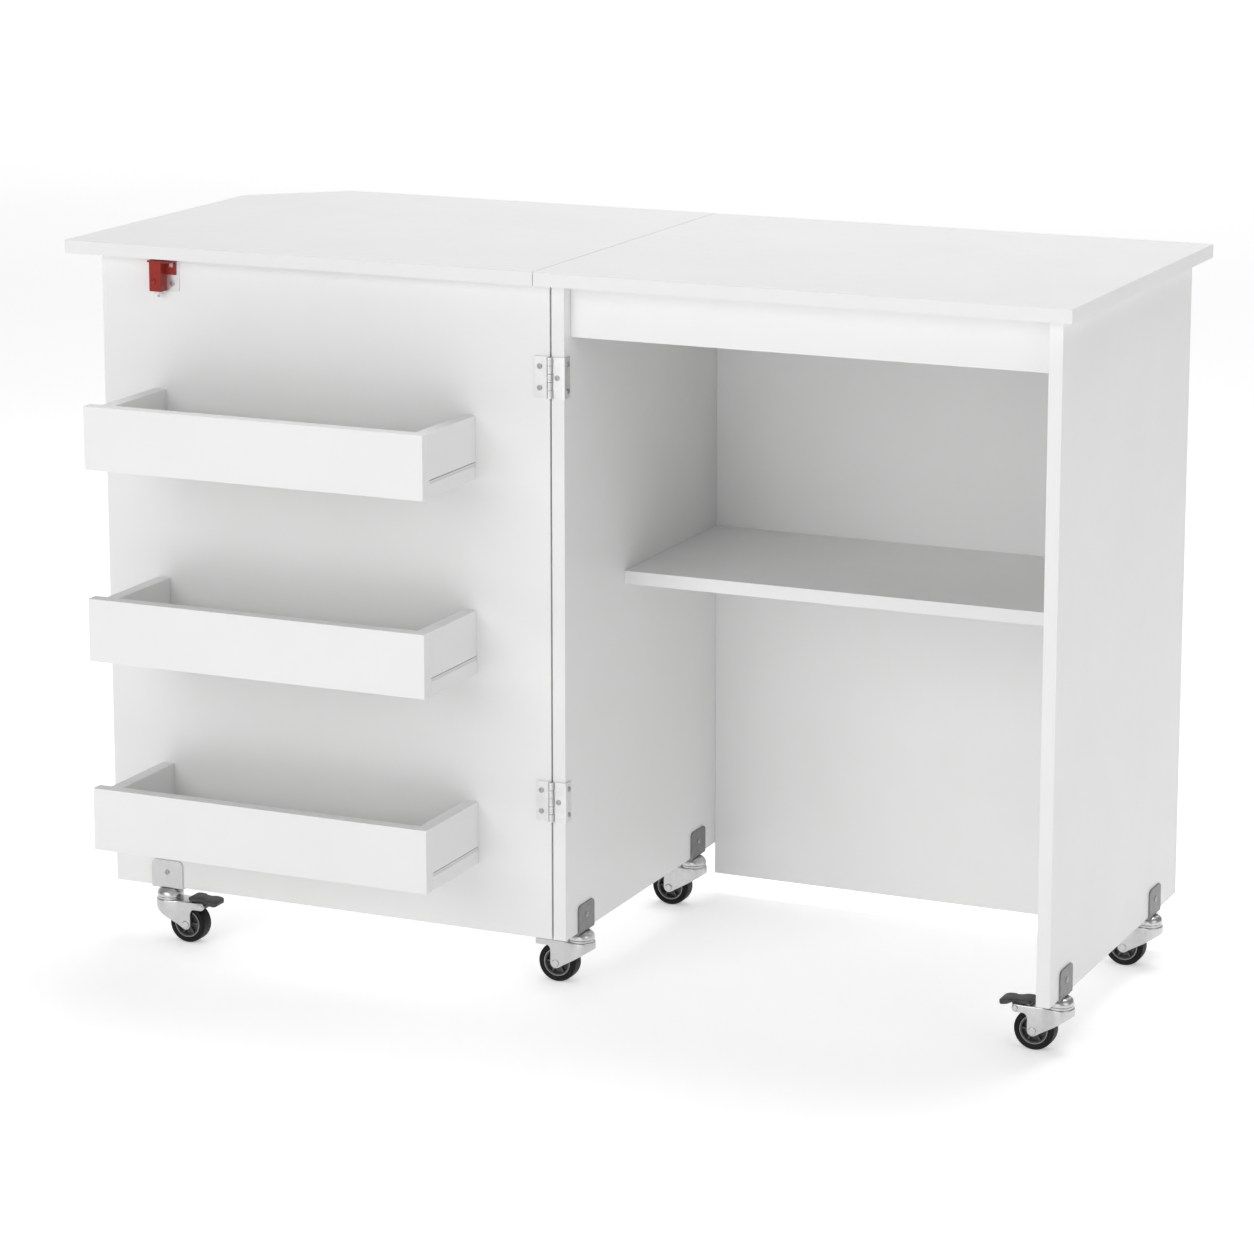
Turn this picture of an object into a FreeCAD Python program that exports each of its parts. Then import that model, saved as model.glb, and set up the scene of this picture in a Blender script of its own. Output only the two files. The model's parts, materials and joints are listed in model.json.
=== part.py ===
import FreeCAD, Part
import math
import os

# Folding sewing table on casters, in millimetres.
# Everything is drawn with x = 0 at the drop leaf's left end, y = 0 at the top's front edge and
# z = 0 on the floor. The export moves it so that the origin is the bottom centre of its box.

V = FreeCAD.Vector
X_AXIS = V(1, 0, 0)
Y_AXIS = V(0, 1, 0)
Z_AXIS = V(0, 0, 1)
NEAR = 1e-6

# Boards
BOARD = 15.0
ARRIS = 0.6
TOP_WIDTH = 1180.0
TOP_DEPTH = 495.0
HEIGHT = 806.0
SEAM_X = 579.0
SEAM_GAP = 0.8
CHAMFER_X = 101.0
CHAMFER_Y = 90.5
TOP_CORNER = 2.0
UNDERSIDE = HEIGHT - BOARD
CLEARANCE_UNDER = 63.0
FRONT_OVERHANG = 17.0
LEFT_PANEL_X = 593.0
RIGHT_PANEL_X = 1150.0
PANEL_REAR_Y = 465.0
BACK_INSET = 16.0
BACK_REAR_Y = PANEL_REAR_Y - BACK_INSET
BACK_FRONT_Y = BACK_REAR_Y - BOARD
BACK_BOTTOM = 26.0
RAIL_RECESS = 16.0
RAIL_HEIGHT = 58.0
SHELF_RECESS = 156.0
SHELF_Z = 433.0
INSIDE_LEFT = LEFT_PANEL_X + BOARD
INSIDE_RIGHT = RIGHT_PANEL_X
RIGHT_OUTER_X = RIGHT_PANEL_X + BOARD
RAIL_Y = FRONT_OVERHANG + RAIL_RECESS
RAIL_Z = UNDERSIDE - RAIL_HEIGHT
RAIL_MIDDLE_Z = RAIL_Z + RAIL_HEIGHT / 2
SHELF_Y = FRONT_OVERHANG + SHELF_RECESS

# Door
DOOR_LEFT = 38.0
DOOR_GAP = 2.0
DOOR_RIGHT = LEFT_PANEL_X - DOOR_GAP
DOOR_TOP = UNDERSIDE - 1.6
DOOR_Y = FRONT_OVERHANG
DOOR_BACK_Y = DOOR_Y + BOARD
HINGE_X = LEFT_PANEL_X - DOOR_GAP / 2
HINGE_Y = 13.8

# Bins
BIN_LEFT = 87.0
BIN_RIGHT = 502.0
BIN_LEFT_END_X = BIN_LEFT + BOARD
BIN_RIGHT_END_X = BIN_RIGHT - BOARD
BIN_FRONT_Y = -110.0
BIN_JOINT_Y = BIN_FRONT_Y + BOARD
BIN_HEIGHT = 71.0
BIN_BOTTOMS = {"lower": 139.0, "middle": 355.5, "upper": 571.5}
SLOT_RISE = 15.6
SLOT_HEIGHT = 4.4
SLOT_BRIDGE = 1.2
HARDBOARD = 3.4
HARDBOARD_RECESS = 0.4
HARDBOARD_PLAY = 0.2
FRONT_GROOVE = 5.0
BIN_SCREW_LENGTH = 38.0

# Dowels, cams and screws
DOWEL_R = 4.0
DOWEL_IN_FACE = 8.0
DOWEL_IN_END = 20.0
FIT = 0.05
CAM_R = 7.5
CAM_DEPTH = 12.0
CAM_SLOT = 1.6
CAM_SETBACK = 34.0
HEAD_R = 3.0
HEAD_HEIGHT = 1.1
FLAT_HEAD_R = 4.0
FLAT_HEAD_HEIGHT = 2.6
SHANK_R = 1.6
CROSS_WIDTH = 0.8
CROSS_DEPTH = 0.6
FITTING_SCREW_LENGTH = 11.0

# Hinges
PIN_R = 1.15
KNUCKLE_BORE = 1.20
KNUCKLES = 5
KNUCKLE_GAP = 0.3
LEAF_T = 1.4
LEAF_CORNER = 2.0
KNUCKLE_CLEARANCE = 0.4
DOOR_HINGE_LENGTH = 45.0
DOOR_HINGE_CENTRES = (220.5, 690.5)
DOOR_KNUCKLE_R = 2.9
DOOR_LEAF_BACK = DOOR_KNUCKLE_R + 0.3
DOOR_LEAF_FRONT_Y = HINGE_Y + DOOR_LEAF_BACK - LEAF_T
DOOR_LEAF_X0 = -18.6
FRAME_LEAF_X1 = INSIDE_LEFT + LEAF_T - HINGE_X
WRAP_DEPTH = 12.0
DOOR_SCREW_X = -12.3
DOOR_SCREW_RISE = 11.7
FRAME_SCREW_X = 8.4
WRAP_SCREW_Y = 9.5
WRAP_SCREW_RISE = 14.6
TOP_HINGE_LENGTH = 40.0
TOP_HINGE_CENTRES = (110.0, 385.0)
TOP_KNUCKLE_R = 2.4
TOP_LEAF_BACK = TOP_KNUCKLE_R + 0.2
TOP_HINGE_Z = UNDERSIDE - TOP_LEAF_BACK
TOP_FIXED_X1 = 13.4
TOP_MOVING_X0 = -18.0
TOP_FIXED_SCREW_X = 8.4
TOP_MOVING_SCREW_X = -10.6
TOP_SCREW_RISE = 12.0

# Latch
LATCH_X0 = 107.0
LATCH_X1 = 122.0
LATCH_Y0 = 2.0
LATCH_Z0 = 754.5
LATCH_Z1 = 789.0
LATCH_PLATE_T = 1.2
LATCH_PLATE_X1 = 137.5
LATCH_EAR_X1 = 134.0
LATCH_EAR_HEIGHT = 16.5
LATCH_EAR_T = 2.0
LATCH_BACK = DOOR_Y - LATCH_PLATE_T
LATCH_WALL = 2.0
LATCH_CAVITY_Z = (759.0, 785.0)
LATCH_CAVITY_HALF = 4.6
LATCH_RIVET = V(LATCH_X0 + 6.3, LATCH_Y0 + 1.3, LATCH_Z0 + 11.0)
LATCH_RIVET_R = 3.3
BOLT_X = 114.9
BOLT_Y = 9.0
BOLT_R = 3.0
BOLT_BORE = 3.08
BOLT_PULL_R = 1.2
BOLT_PULL_BORE = 1.28
BOLT_BOTTOM = 747.5
BOLT_TOP = 788.6
BOLT_FLANGE_R = 4.3
BOLT_FLANGE_Z = 774.6
BOLT_FLANGE_T = 1.4
BUSH_R = 5.0
BUSH_NECK_R = 3.8
BUSH_FLANGE_T = 3.5
SPRING_R = 3.72
SPRING_WIRE = 0.55
SPRING_PITCH = 2.4
STRIKE_R = 3.6
STRIKE_DEPTH = 9.0

# Casters, drawn with the swivel axis at x = y = 0 and the wheel trailing towards +x
WHEEL_R = 22.5
TREAD = 19.0
TYRE_SHOULDER = 2.8
RIM_R = 15.8
RIM_WALL = 2.2
HUB_WIDTH = 17.0
HUB_BOSS_R = 5.5
HUB_BOSS_HALF = 10.2
SPOKES = 6
TRAIL = 26.0
AXLE_R = 2.5
AXLE_FIT = 0.08
AXLE_HEAD_R = 4.2
RIVET_HEAD_HEIGHT = 1.8
LEG_INNER = 10.7
LEG_T = 2.0
LEG_OUTER = LEG_INNER + LEG_T
LEG_BOSS = 6.0
FORK_REAR = 50.0
CROWN_Z = 47.5
CROWN_R = 16.0
CROWN_T = 2.0
CREASE_X = 15.4
SKIRT_FRONT_Z = 41.5
SKIRT_REAR_Z = 42.5
RACE_TOP = 51.7
RACE_R = 14.6
RACE_WALL = 3.0
CAP_R = 15.2
CAP_Z = 52.3
CAP_RIM = 1.6
CAP_FLAT = 8.0
KING_R = 4.0
KING_HEAD_R = 6.5
BRACKET_T = 2.0
BRACKET_WIDTH = 40.0
BRACKET_HEIGHT = 31.0
BRACKET_LEG = 24.0
BRACKET_CORNER = 6.0
BRACKET_BEND = 1.8
BRACKET_SCREW_Z = CLEARANCE_UNDER + 17.0
BRACKET_SCREW_LENGTH = 12.0
AXIS_INSET = 5.0
BRAKE_X = 45.5
BRAKE_Z = 45.4
BRAKE_BOSS_R = 4.5
BRAKE_PIN_R = 2.0
BRAKE_HEAD_R = 3.2
BRAKE_FIT = 0.06
BRAKE_HALF = LEG_INNER - 0.4

FRONT_CASTER_Y = 68.0
REAR_CASTER_Y = 381.0
DOOR_CASTER_X = 105.5
LEFT_AXIS_X = INSIDE_LEFT - AXIS_INSET
RIGHT_AXIS_X = RIGHT_OUTER_X - AXIS_INSET
# name: swivel axis x, y, heading of the trailing wheel in degrees, has a brake
CASTERS = {
    "front_left_caster": (LEFT_AXIS_X, FRONT_CASTER_Y, 180.0, False),
    "rear_left_caster": (LEFT_AXIS_X, REAR_CASTER_Y, 180.0, False),
    "front_right_caster": (RIGHT_AXIS_X, FRONT_CASTER_Y, 180.0, True),
    "rear_right_caster": (RIGHT_AXIS_X, REAR_CASTER_Y, 180.0, False),
    "door_caster": (DOOR_CASTER_X, DOOR_Y + AXIS_INSET, 0.0, True),
}
# heading of each bracket's foot, away from the face it is screwed to
BRACKET_HEADINGS = {
    "front_left_caster": 180.0,
    "rear_left_caster": 180.0,
    "front_right_caster": 180.0,
    "rear_right_caster": 180.0,
    "door_caster": 90.0,
}

ORIGIN = V(TOP_WIDTH / 2, (TOP_DEPTH + BIN_FRONT_Y) / 2, 0)


def block(x0, x1, y0, y1, z0, z1):
    return Part.makeBox(x1 - x0, y1 - y0, z1 - z0, V(x0, y0, z0))


def board(x0, x1, y0, y1, z0, z1):
    """A board whose arrises are all slightly eased."""
    solid = block(x0, x1, y0, y1, z0, z1)
    return solid.makeFillet(ARRIS, solid.Edges)


def cylinder(radius, start, end):
    way = end - start
    return Part.makeCylinder(radius, way.Length, start, way)


def fuse(solids):
    joined = solids[0].multiFuse(solids[1:])
    return joined.removeSplitter()


def group(solids):
    return Part.makeCompound(solids)


def extrude_xz(points, y0, y1):
    """A flat outline in the x-z plane, made into a plate between y0 and y1."""
    wire = Part.makePolygon([V(x, y0, z) for x, z in points + points[:1]])
    return Part.Face(wire).extrude(V(0, y1 - y0, 0))


def edges_along(solid, axis, test):
    """The straight edges parallel to axis whose middle passes the test."""
    found = []
    for edge in solid.Edges:
        way = edge.Vertexes[-1].Point - edge.Vertexes[0].Point
        if way.Length < NEAR:
            continue
        if abs(abs(way.normalize().dot(axis)) - 1) < NEAR and test(edge.CenterOfMass):
            found.append(edge)
    return found


# ---- worktop -------------------------------------------------------------------------------

def strike_holes():
    """Sockets for the latch bolt: in the leaf when the door is open, in the top when it is shut."""
    depth = V(0, 0, STRIKE_DEPTH)
    in_leaf = V(BOLT_X, BOLT_Y, UNDERSIDE)
    in_top = V(2 * HINGE_X - BOLT_X, 2 * HINGE_Y - BOLT_Y, UNDERSIDE)
    return [cylinder(STRIKE_R, at, at + depth) for at in (in_leaf, in_top)]


def worktop_slab(outline):
    wire = Part.makePolygon([V(x, y, UNDERSIDE) for x, y in outline + outline[:1]])
    slab = Part.Face(wire).extrude(V(0, 0, BOARD))
    outer = edges_along(slab, Z_AXIS, lambda p: abs(p.x - SEAM_X) > SEAM_GAP)
    slab = slab.makeFillet(TOP_CORNER, outer)
    rims = [e for e in slab.Edges if abs(e.CenterOfMass.z - HEIGHT) < NEAR]
    rims = [e for e in rims if abs(e.CenterOfMass.x - SEAM_X) > SEAM_GAP]
    return slab.makeFillet(ARRIS, rims)


def main_top():
    x0 = SEAM_X + SEAM_GAP / 2
    outline = [(x0, 0), (TOP_WIDTH, 0), (TOP_WIDTH, TOP_DEPTH), (x0, TOP_DEPTH)]
    return worktop_slab(outline)


def drop_leaf():
    x1 = SEAM_X - SEAM_GAP / 2
    rear_left = [(CHAMFER_X, TOP_DEPTH), (0, TOP_DEPTH - CHAMFER_Y)]
    outline = [(0, 0), (x1, 0), (x1, TOP_DEPTH)] + rear_left
    return worktop_slab(outline)


# ---- cabinet -------------------------------------------------------------------------------

def side_panel(x0):
    return board(x0, x0 + BOARD, FRONT_OVERHANG, PANEL_REAR_Y, CLEARANCE_UNDER, UNDERSIDE)


def back_panel():
    return board(INSIDE_LEFT, INSIDE_RIGHT, BACK_FRONT_Y, BACK_REAR_Y, BACK_BOTTOM, UNDERSIDE)


def front_rail():
    return board(INSIDE_LEFT, INSIDE_RIGHT, RAIL_Y, RAIL_Y + BOARD, RAIL_Z, UNDERSIDE)


def middle_shelf():
    return board(INSIDE_LEFT, INSIDE_RIGHT, SHELF_Y, BACK_FRONT_Y, SHELF_Z, SHELF_Z + BOARD)


def dowel_lines():
    """Start and end of each hidden dowel that holds the cabinet together."""
    lines = []
    middle = BOARD / 2
    ends = [(y, SHELF_Z + middle) for y in (SHELF_Y + 50, BACK_FRONT_Y - 50)]
    ends.append((RAIL_Y + middle, RAIL_MIDDLE_Z))
    ends += [(BACK_FRONT_Y + middle, z) for z in (130.0, 330.0, 600.0)]
    for y, z in ends:
        lines.append((V(INSIDE_LEFT - DOWEL_IN_FACE, y, z), V(INSIDE_LEFT + DOWEL_IN_END, y, z)))
        lines.append((V(INSIDE_RIGHT + DOWEL_IN_FACE, y, z), V(INSIDE_RIGHT - DOWEL_IN_END, y, z)))
    for x in (LEFT_PANEL_X + middle, RIGHT_PANEL_X + middle):
        for y in (120.0, 250.0, 380.0):
            lines.append((V(x, y, UNDERSIDE - DOWEL_IN_END), V(x, y, UNDERSIDE + DOWEL_IN_FACE)))
    return lines


def cam_places():
    """Mouth and inward direction of each cam lock."""
    places = []
    for x in (INSIDE_LEFT + CAM_SETBACK, INSIDE_RIGHT - CAM_SETBACK):
        places.append((V(x, SHELF_Y + 100, SHELF_Z), Z_AXIS))
        places.append((V(x, RAIL_Y + BOARD, RAIL_MIDDLE_Z), -Y_AXIS))
        places += [(V(x, BACK_REAR_Y, z), -Y_AXIS) for z in (230.0, 700.0)]
    return places


def cross_cut(reach, width, start, depth):
    """Two crossed slots, cut into a round head that faces -z."""
    slot = block(-reach, reach, -width / 2, width / 2, start, start + depth)
    return slot.fuse(slot.rotated(V(), Z_AXIS, 90))


def cam_lock(mouth, inward):
    disc = Part.makeCylinder(CAM_R, CAM_DEPTH)
    cam = disc.cut(cross_cut(CAM_R * 0.6, CAM_SLOT, 0, CAM_SLOT))
    cam.Placement = FreeCAD.Placement(mouth, FreeCAD.Rotation(Z_AXIS, inward))
    return cam


def drill(solid, tools):
    """Cuts only the tools that reach the solid."""
    near = [t for t in tools if t.BoundBox.intersect(solid.BoundBox)]
    return solid.cut(near) if near else solid


# ---- screws --------------------------------------------------------------------------------

def pan_screw(seat, inward, length):
    """A cross-headed screw: seat is on the surface under its head."""
    head = Part.makeCylinder(HEAD_R, HEAD_HEIGHT, V(0, 0, -HEAD_HEIGHT))
    crown = [e for e in head.Edges if abs(e.CenterOfMass.z + HEAD_HEIGHT) < NEAR]
    head = head.makeFillet(HEAD_HEIGHT * 0.7, crown)
    cross = cross_cut(HEAD_R * 0.6, CROSS_WIDTH, -HEAD_HEIGHT, CROSS_DEPTH)
    screw = head.fuse(Part.makeCylinder(SHANK_R, length)).cut(cross)
    screw.Placement = FreeCAD.Placement(seat, FreeCAD.Rotation(Z_AXIS, inward))
    return screw


def screw_hole(seat, inward, length):
    return Part.makeCylinder(SHANK_R + FIT, length + 0.5, seat, inward)


def flat_screw(seat, inward, length):
    """A countersunk screw, flush with the surface."""
    head = Part.makeCone(FLAT_HEAD_R, SHANK_R, FLAT_HEAD_HEIGHT)
    cross = cross_cut(HEAD_R * 0.6, CROSS_WIDTH, 0, CROSS_DEPTH)
    screw = head.fuse(Part.makeCylinder(SHANK_R, length)).cut(cross)
    screw.Placement = FreeCAD.Placement(seat, FreeCAD.Rotation(Z_AXIS, inward))
    return screw


def flat_screw_hole(seat, inward, length):
    mouth = Part.makeCone(FLAT_HEAD_R + FIT, SHANK_R + FIT, FLAT_HEAD_HEIGHT)
    hole = mouth.fuse(Part.makeCylinder(SHANK_R + FIT, length + 0.5))
    hole.Placement = FreeCAD.Placement(seat, FreeCAD.Rotation(Z_AXIS, inward))
    return hole


# ---- door and bins -------------------------------------------------------------------------

def door_panel():
    return board(DOOR_LEFT, DOOR_RIGHT, DOOR_Y, DOOR_BACK_Y, CLEARANCE_UNDER, DOOR_TOP)


def bin_front(z0):
    """The front board, which runs past the left end board by its own thickness."""
    solid = board(BIN_LEFT, BIN_RIGHT, BIN_FRONT_Y, BIN_JOINT_Y, z0, z0 + BIN_HEIGHT)
    x0 = BIN_LEFT_END_X + BOARD
    slot_z = z0 + SLOT_RISE
    groove_y = BIN_JOINT_Y - FRONT_GROOVE
    groove = block(x0, BIN_RIGHT_END_X, groove_y, BIN_JOINT_Y + 1, slot_z, slot_z + SLOT_HEIGHT)
    return solid.cut(groove)


def bin_ends(z0):
    """The two end boards, slotted for the bottom from just behind the front board to the door."""
    slot_z = z0 + SLOT_RISE
    ends = []
    for x in (BIN_LEFT_END_X, BIN_RIGHT_END_X):
        solid = board(x, x + BOARD, BIN_JOINT_Y, DOOR_Y, z0, z0 + BIN_HEIGHT)
        y0 = BIN_JOINT_Y + SLOT_BRIDGE
        ends.append(solid.cut(block(x - 1, x + BOARD + 1, y0, DOOR_Y + 1, slot_z, slot_z + SLOT_HEIGHT)))
    return group(ends)


def bin_bottom(z0):
    """Thin hardboard that runs into the front board's groove and through the ends' slots."""
    z = z0 + SLOT_RISE
    top = z + HARDBOARD
    x0 = BIN_LEFT_END_X + BOARD + HARDBOARD_PLAY
    x1 = BIN_RIGHT_END_X - HARDBOARD_PLAY
    groove_y = BIN_JOINT_Y - FRONT_GROOVE + HARDBOARD_PLAY
    middle = block(x0, x1, groove_y, DOOR_Y, z, top)
    ears_y = BIN_JOINT_Y + SLOT_BRIDGE + HARDBOARD_PLAY
    ears_x0 = BIN_LEFT_END_X + HARDBOARD_RECESS
    ears = block(ears_x0, BIN_RIGHT - HARDBOARD_RECESS, ears_y, DOOR_Y, z, top)
    return fuse([middle, ears])


def bin_joints():
    """x and z of the fixings in the bins' ends, one under each slot and one above it."""
    joints = []
    for z0 in BIN_BOTTOMS.values():
        for x in (BIN_LEFT_END_X + BOARD / 2, BIN_RIGHT_END_X + BOARD / 2):
            joints += [(x, z0 + SLOT_RISE / 2), (x, z0 + BIN_HEIGHT * 0.62)]
    return joints


def bin_dowel_lines():
    y0 = BIN_JOINT_Y - DOWEL_IN_FACE
    y1 = BIN_JOINT_Y + DOWEL_IN_END
    return [(V(x, y0, z), V(x, y1, z)) for x, z in bin_joints()]


def bin_screw_seats():
    return [V(x, DOOR_BACK_Y, z) for x, z in bin_joints()]


# ---- hinges --------------------------------------------------------------------------------

def hinge_half(length, radius, back, plates, first, side):
    """One half of a butt hinge on the z axis. plates are its flat pieces, with their back face at
    y = back. first is its lowest knuckle (0 or 1) and side is -1 or 1 along x."""
    pitch = length / KNUCKLES
    pieces = list(plates)
    inner, outer = sorted((side * 1.0, side * (radius + 1)))
    for number in range(first, KNUCKLES, 2):
        z0 = number * pitch + (KNUCKLE_GAP / 2 if number else 0)
        z1 = (number + 1) * pitch - (KNUCKLE_GAP / 2 if number < KNUCKLES - 1 else 0)
        pieces.append(Part.makeCylinder(radius, z1 - z0, V(0, 0, z0)))
        pieces.append(block(inner, outer, back - LEAF_T, back, z0, z1))
    half = fuse(pieces)
    return half.cut(Part.makeCylinder(KNUCKLE_BORE, length + 2, V(0, 0, -1)))


def door_hinge_base(centre):
    return V(HINGE_X, HINGE_Y, centre - DOOR_HINGE_LENGTH / 2)


def door_hinge_door_leaf(centre):
    x1 = -DOOR_KNUCKLE_R - KNUCKLE_CLEARANCE
    back = DOOR_LEAF_BACK
    plate = block(DOOR_LEAF_X0, x1, back - LEAF_T, back, 0, DOOR_HINGE_LENGTH)
    corners = edges_along(plate, Y_AXIS, lambda p: p.x < DOOR_LEAF_X0 + 1)
    plate = plate.makeFillet(LEAF_CORNER, corners)
    half = hinge_half(DOOR_HINGE_LENGTH, DOOR_KNUCKLE_R, back, [plate], 1, -1)
    return half.translated(door_hinge_base(centre))


def door_hinge_frame_leaf(centre):
    """Covers the panel's front edge and turns the corner onto its inner face."""
    x0 = DOOR_KNUCKLE_R + KNUCKLE_CLEARANCE
    back = DOOR_LEAF_BACK
    deep = back + WRAP_DEPTH
    flat = block(x0, FRAME_LEAF_X1, back - LEAF_T, back, 0, DOOR_HINGE_LENGTH)
    wrap = block(FRAME_LEAF_X1 - LEAF_T, FRAME_LEAF_X1, back - LEAF_T, deep, 0, DOOR_HINGE_LENGTH)
    corners = edges_along(wrap, X_AXIS, lambda p: p.y > deep - 1)
    wrap = wrap.makeFillet(LEAF_CORNER, corners)
    half = hinge_half(DOOR_HINGE_LENGTH, DOOR_KNUCKLE_R, back, [flat, wrap], 0, 1)
    return half.translated(door_hinge_base(centre))


def on_its_side(solid, centre):
    """Turns a hinge drawn along z so that it lies along y under the worktop."""
    turned = solid.rotated(V(), X_AXIS, 90)
    return turned.translated(V(SEAM_X, centre + TOP_HINGE_LENGTH / 2, TOP_HINGE_Z))


def top_hinge_fixed_leaf(centre):
    x0 = TOP_KNUCKLE_R + KNUCKLE_CLEARANCE
    back = TOP_LEAF_BACK
    plate = block(x0, TOP_FIXED_X1, back - LEAF_T, back, 0, TOP_HINGE_LENGTH)
    return on_its_side(hinge_half(TOP_HINGE_LENGTH, TOP_KNUCKLE_R, back, [plate], 0, 1), centre)


def top_hinge_moving_leaf(centre):
    x1 = -TOP_KNUCKLE_R - KNUCKLE_CLEARANCE
    back = TOP_LEAF_BACK
    plate = block(TOP_MOVING_X0, x1, back - LEAF_T, back, 0, TOP_HINGE_LENGTH)
    return on_its_side(hinge_half(TOP_HINGE_LENGTH, TOP_KNUCKLE_R, back, [plate], 1, -1), centre)


def hinge_pins():
    pins = []
    for centre in DOOR_HINGE_CENTRES:
        base = door_hinge_base(centre)
        pins.append(Part.makeCylinder(PIN_R, DOOR_HINGE_LENGTH, base))
    for centre in TOP_HINGE_CENTRES:
        pins.append(on_its_side(Part.makeCylinder(PIN_R, TOP_HINGE_LENGTH), centre))
    return group(pins)


# ---- latch ---------------------------------------------------------------------------------

def on_bolt_axis(radius, z0, z1):
    return Part.makeCylinder(radius, z1 - z0, V(BOLT_X, BOLT_Y, z0))


def latch_plate():
    z0 = LATCH_Z0 - 1
    plate = block(LATCH_X0 + 1, LATCH_PLATE_X1, LATCH_BACK, DOOR_Y, z0, LATCH_Z1 - 1)
    corners = edges_along(plate, Y_AXIS, lambda p: p.z < LATCH_Z0)
    return plate.makeFillet(LEAF_CORNER, corners)


def latch_housing():
    body = block(LATCH_X0, LATCH_X1, LATCH_Y0, LATCH_BACK, LATCH_Z0, LATCH_Z1)
    body = body.makeFillet(1.0, edges_along(body, Z_AXIS, lambda p: p.y < LATCH_Y0 + 1))
    lip_x0 = LATCH_X0 - 1.5
    lip = block(lip_x0, LATCH_EAR_X1, LATCH_Y0 - 0.6, LATCH_BACK, LATCH_Z1 - 2, LATCH_Z1)
    ear_y = LATCH_BACK - LATCH_EAR_T
    ear_z = LATCH_Z1 - LATCH_EAR_HEIGHT
    ear = block(LATCH_X1 - 1, LATCH_EAR_X1, ear_y, LATCH_BACK, ear_z, LATCH_Z1)
    rivet = Part.makeSphere(LATCH_RIVET_R, LATCH_RIVET)
    shell = fuse([body, lip, ear, rivet])
    window_z = LATCH_Z1 - 8.5
    window = block(LATCH_X1 + 3, LATCH_X1 + 9, ear_y - 1, LATCH_BACK + 1, window_z, window_z + 5.5)
    y0 = BOLT_Y - LATCH_CAVITY_HALF
    y1 = BOLT_Y + LATCH_CAVITY_HALF
    cavity = block(LATCH_X0 + LATCH_WALL, LATCH_X1 - LATCH_WALL, y0, y1, *LATCH_CAVITY_Z)
    bore = on_bolt_axis(BOLT_BORE, LATCH_Z0 - 1, LATCH_Z1 + 1)
    seat = on_bolt_axis(BUSH_NECK_R, LATCH_Z0, LATCH_Z0 + 3)
    return shell.cut([window, cavity, bore, seat])


def latch_bush():
    """Guide sleeve at the bottom of the housing."""
    flange = on_bolt_axis(BUSH_R, LATCH_Z0 - BUSH_FLANGE_T, LATCH_Z0)
    sleeve = on_bolt_axis(BUSH_NECK_R, LATCH_Z0, LATCH_Z0 + 3)
    bore = on_bolt_axis(BOLT_PULL_BORE, LATCH_Z0 - BUSH_FLANGE_T - 1, LATCH_Z0 + 4)
    return flange.fuse(sleeve).cut(bore)


def latch_bolt():
    """The bolt stands on a flange, with a thin pull pin below that runs through the sleeve."""
    shaft = on_bolt_axis(BOLT_R, BOLT_FLANGE_Z, BOLT_TOP)
    tip = [e for e in shaft.Edges if e.BoundBox.ZMin > BOLT_TOP - NEAR]
    shaft = shaft.makeChamfer(0.8, tip)
    flange = on_bolt_axis(BOLT_FLANGE_R, BOLT_FLANGE_Z, BOLT_FLANGE_Z + BOLT_FLANGE_T)
    pull = on_bolt_axis(BOLT_PULL_R, BOLT_BOTTOM, BOLT_FLANGE_Z)
    return fuse([shaft, flange, pull])


def latch_spring():
    """A compression spring between the cavity's floor and the bolt's flange."""
    bottom = LATCH_CAVITY_Z[0] + SPRING_WIRE + 0.1
    top = BOLT_FLANGE_Z - SPRING_WIRE - 0.1
    helix = Part.makeHelix(SPRING_PITCH, top - bottom, SPRING_R)
    profile = Part.Wire(Part.makeCircle(SPRING_WIRE, V(SPRING_R, 0, 0), Y_AXIS))
    coil = helix.makePipeShell([profile], True, True)
    return coil.translated(V(BOLT_X, BOLT_Y, bottom))


# ---- casters -------------------------------------------------------------------------------

def tangent_below(point, centre, radius):
    """Where the line from point touches the lower left of a circle in the x-z plane."""
    dx = centre[0] - point[0]
    dz = centre[1] - point[1]
    reach = math.hypot(dx, dz)
    swing = math.atan2(dz, dx) - math.asin(radius / reach)
    run = math.sqrt(reach ** 2 - radius ** 2)
    return (point[0] + run * math.cos(swing), point[1] + run * math.sin(swing))


def fork_outline(shrink):
    """The fork seen from above: a round crown that narrows at a crease to two parallel legs."""
    radius = CROWN_R - shrink
    half = LEG_OUTER - shrink
    reach = math.hypot(CREASE_X, half)
    lean = math.atan2(half, CREASE_X) + math.acos(radius / reach)
    touch = V(radius * math.cos(lean), radius * math.sin(lean), 0)
    mirrored = V(touch.x, -touch.y, 0)
    front = Part.Arc(mirrored, V(-radius, 0, 0), touch).toShape()
    crease = V(CREASE_X, half, 0)
    rear = FORK_REAR + shrink
    run = [touch, crease, V(rear, half, 0), V(rear, -half, 0), V(CREASE_X, -half, 0), mirrored]
    lines = Part.makePolygon(run)
    return Part.Face(Part.Wire(Part.sortEdges([front] + lines.Edges)[0]))


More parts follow.
